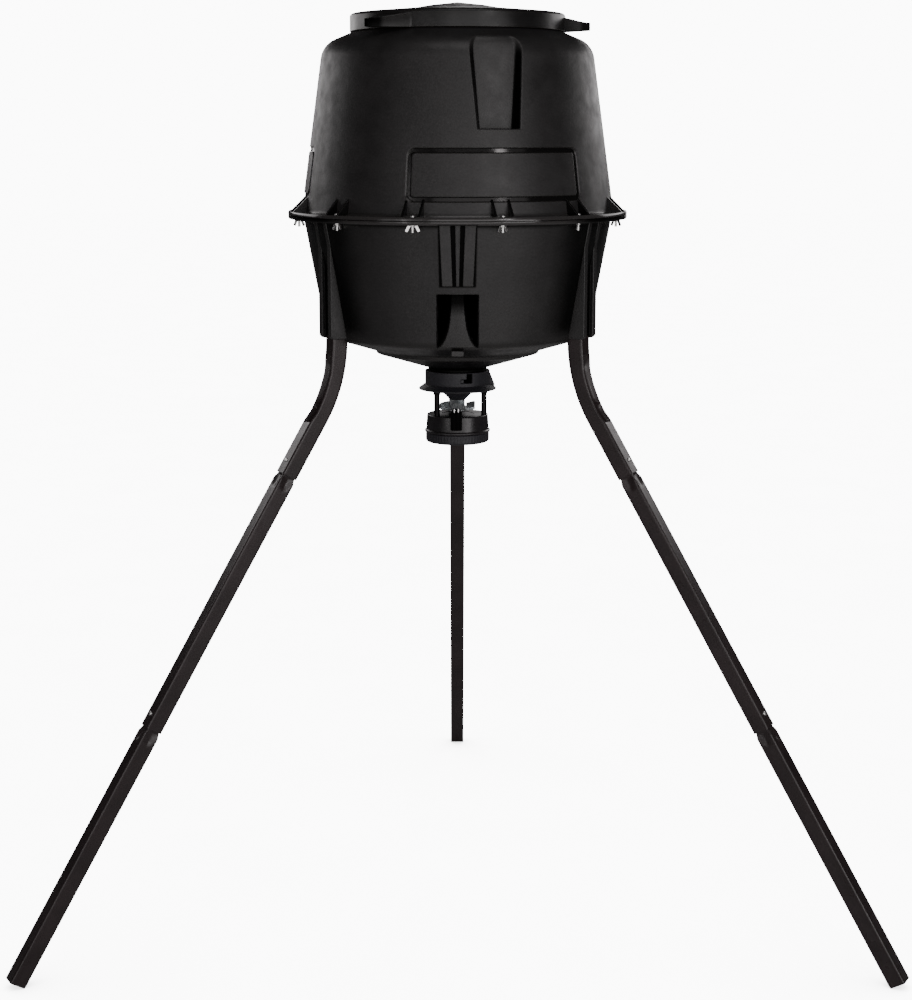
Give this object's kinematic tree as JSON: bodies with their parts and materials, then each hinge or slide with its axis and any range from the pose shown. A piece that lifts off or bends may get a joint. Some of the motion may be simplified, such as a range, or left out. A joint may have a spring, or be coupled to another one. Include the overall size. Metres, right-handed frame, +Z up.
{
  "type": "spin cast feeder",
  "caption": "Free-standing game feeder: a round two-part hopper with a twist-off lid on a splayed tripod, over a battery spinner that throws feed outwards.",
  "frame": {"origin": "centre of the bounding box footprint, on the ground", "axes": "+Z up; -Y is the front, where the hopper faces; the back leg reaches towards +Y"},
  "size_m": [1.5508, 1.343, 1.661],
  "materials": {
    "hopper_plastic": "fine moulded texture, near black",
    "lid_plastic": "smooth, satin to glossy black",
    "leg_paint": "black powder coat with a slight brown tone",
    "zinc_plate": "bright zinc plate",
    "galvanised_steel": "galvanised sheet, spangled",
    "head_plastic": "semi-matt moulded black",
    "seal_rubber": "matt",
    "battery_wrap": "printed-free wrap",
    "circuit_green": "solder mask",
    "panel_plastic": "matt",
    "display_window": "smooth",
    "key_plastic": "matt"
  },
  "bodies": {
    "stand": {"upper_hopper": "hopper_plastic", "lower_hopper": "hopper_plastic", "lock_ring": "head_plastic", "flange_bolt_1": "zinc_plate", "flange_bolt_2": "zinc_plate", "flange_bolt_3": "zinc_plate", "flange_bolt_4": "zinc_plate", "flange_bolt_5": "zinc_plate", "flange_bolt_6": "zinc_plate", "flange_bolt_7": "zinc_plate", "flange_bolt_8": "zinc_plate", "flange_bolt_9": "zinc_plate", "flange_bolt_10": "zinc_plate", "flange_bolt_11": "zinc_plate", "flange_bolt_12": "zinc_plate", "wing_nut_1": "zinc_plate", "wing_nut_2": "zinc_plate", "wing_nut_3": "zinc_plate", "wing_nut_4": "zinc_plate", "wing_nut_5": "zinc_plate", "wing_nut_6": "zinc_plate", "wing_nut_7": "zinc_plate", "wing_nut_8": "zinc_plate", "wing_nut_9": "zinc_plate", "wing_nut_10": "zinc_plate", "wing_nut_11": "zinc_plate", "wing_nut_12": "zinc_plate", "upper_leg_front_left": "leg_paint", "middle_leg_front_left": "leg_paint", "lower_leg_front_left": "leg_paint", "upper_leg_front_right": "leg_paint", "middle_leg_front_right": "leg_paint", "lower_leg_front_right": "leg_paint", "upper_leg_back": "leg_paint", "middle_leg_back": "leg_paint", "lower_leg_back": "leg_paint"},
    "seal": {"lid_seal": "seal_rubber"},
    "lid": {"lid": "lid_plastic"},
    "head": {"feed_plate": "head_plastic", "housing_shell": "head_plastic", "motor": "galvanised_steel", "battery_pair_left": "battery_wrap", "battery_pair_right": "battery_wrap", "circuit_board": "circuit_green", "timer_panel": "panel_plastic", "display": "display_window", "terminal_block": "head_plastic"},
    "spinner": {"spinner_plate": "galvanised_steel", "spinner_nut": "zinc_plate", "motor_shaft": "zinc_plate"},
    "cap": {"housing_cap": "head_plastic"},
    "set_button_1": {"set_button_1": "key_plastic"},
    "set_button_2": {"set_button_2": "key_plastic"},
    "set_button_3": {"set_button_3": "key_plastic"},
    "upper_leg_button_front_left": {"upper_leg_button_front_left": "zinc_plate"},
    "lower_leg_button_front_left": {"lower_leg_button_front_left": "zinc_plate"},
    "upper_leg_button_front_right": {"upper_leg_button_front_right": "zinc_plate"},
    "lower_leg_button_front_right": {"lower_leg_button_front_right": "zinc_plate"},
    "upper_leg_button_back": {"upper_leg_button_back": "zinc_plate"},
    "lower_leg_button_back": {"lower_leg_button_back": "zinc_plate"}
  },
  "joints": [
    {"name": "lid_lift", "type": "slide", "parent": "stand", "child": "seal", "axis": [0, 0, 1], "range_m": [0, 0.12]},
    {"name": "lid_twist", "type": "hinge", "parent": "seal", "child": "lid", "pos_m": [0, -0.21518, 1.62], "axis": [0, 0, 1], "range_deg": [0, 30]},
    {"name": "head_twist", "type": "hinge", "parent": "stand", "child": "head", "pos_m": [0, -0.21518, 0.99], "axis": [0, 0, 1], "range_deg": [0, 15]},
    {"name": "spinner_spin", "type": "hinge", "parent": "head", "child": "spinner", "pos_m": [0, -0.21518, 0.937], "axis": [0, 0, 1], "continuous": true},
    {"name": "cap_drop", "type": "slide", "parent": "head", "child": "cap", "axis": [0, 0, -1], "range_m": [0, 0.06]},
    {"name": "set_button_1_press", "type": "slide", "parent": "head", "child": "set_button_1", "axis": [0, 0, 1], "range_m": [0, 0.001], "stiffness_N_per_m": 500},
    {"name": "set_button_2_press", "type": "slide", "parent": "head", "child": "set_button_2", "axis": [0, 0, 1], "range_m": [0, 0.001], "stiffness_N_per_m": 500},
    {"name": "set_button_3_press", "type": "slide", "parent": "head", "child": "set_button_3", "axis": [0, 0, 1], "range_m": [0, 0.001], "stiffness_N_per_m": 500},
    {"name": "upper_leg_button_front_left_press", "type": "slide", "parent": "stand", "child": "upper_leg_button_front_left", "axis": [0.7328, 0.4231, -0.5329], "range_m": [0, 0.004], "stiffness_N_per_m": 800},
    {"name": "lower_leg_button_front_left_press", "type": "slide", "parent": "stand", "child": "lower_leg_button_front_left", "axis": [0.7328, 0.4231, -0.5329], "range_m": [0, 0.004], "stiffness_N_per_m": 800},
    {"name": "upper_leg_button_front_right_press", "type": "slide", "parent": "stand", "child": "upper_leg_button_front_right", "axis": [-0.7328, 0.4231, -0.5329], "range_m": [0, 0.004], "stiffness_N_per_m": 800},
    {"name": "lower_leg_button_front_right_press", "type": "slide", "parent": "stand", "child": "lower_leg_button_front_right", "axis": [-0.7328, 0.4231, -0.5329], "range_m": [0, 0.004], "stiffness_N_per_m": 800},
    {"name": "upper_leg_button_back_press", "type": "slide", "parent": "stand", "child": "upper_leg_button_back", "axis": [0, -0.8462, -0.5329], "range_m": [0, 0.004], "stiffness_N_per_m": 800},
    {"name": "lower_leg_button_back_press", "type": "slide", "parent": "stand", "child": "lower_leg_button_back", "axis": [0, -0.8462, -0.5329], "range_m": [0, 0.004], "stiffness_N_per_m": 800}
  ]
}
